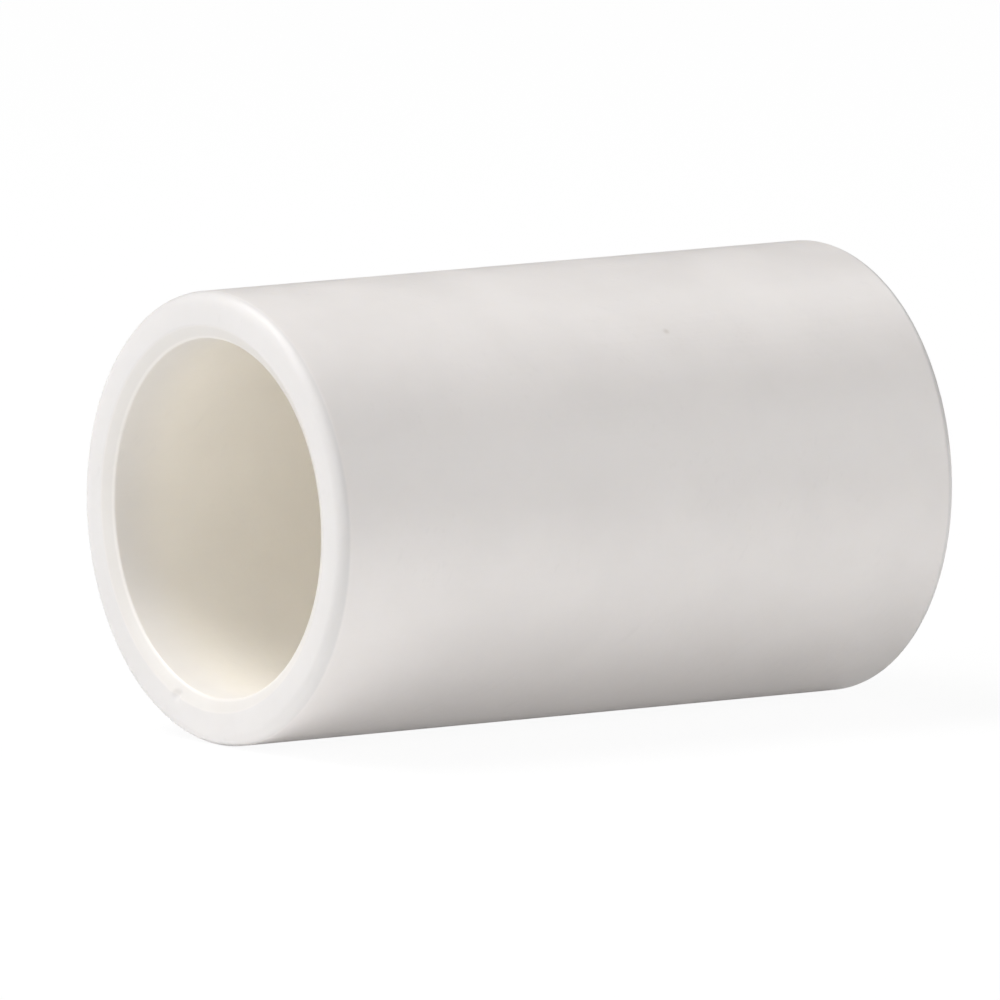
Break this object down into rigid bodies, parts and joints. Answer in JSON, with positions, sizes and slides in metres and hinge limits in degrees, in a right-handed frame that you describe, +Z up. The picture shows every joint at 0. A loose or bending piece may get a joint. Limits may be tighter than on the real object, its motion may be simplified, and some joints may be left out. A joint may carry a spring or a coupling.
{
  "type": "push fit coupling",
  "caption": "Straight white plastic sleeve that joins pipes end to end, each pushed into its socket up to a centre stop.",
  "frame": {"origin": "centre of the sleeve, on its axis, midway between its end faces", "axes": "X along the sleeve's axis, +Z up with the sleeve lying on its side"},
  "size_m": [0.0452, 0.0272, 0.0273],
  "materials": {
    "white_plastic": "smooth moulded white plastic, soft gloss"
  },
  "bodies": {
    "root": {"coupling_sleeve": "white_plastic"}
  },
  "joints": []
}
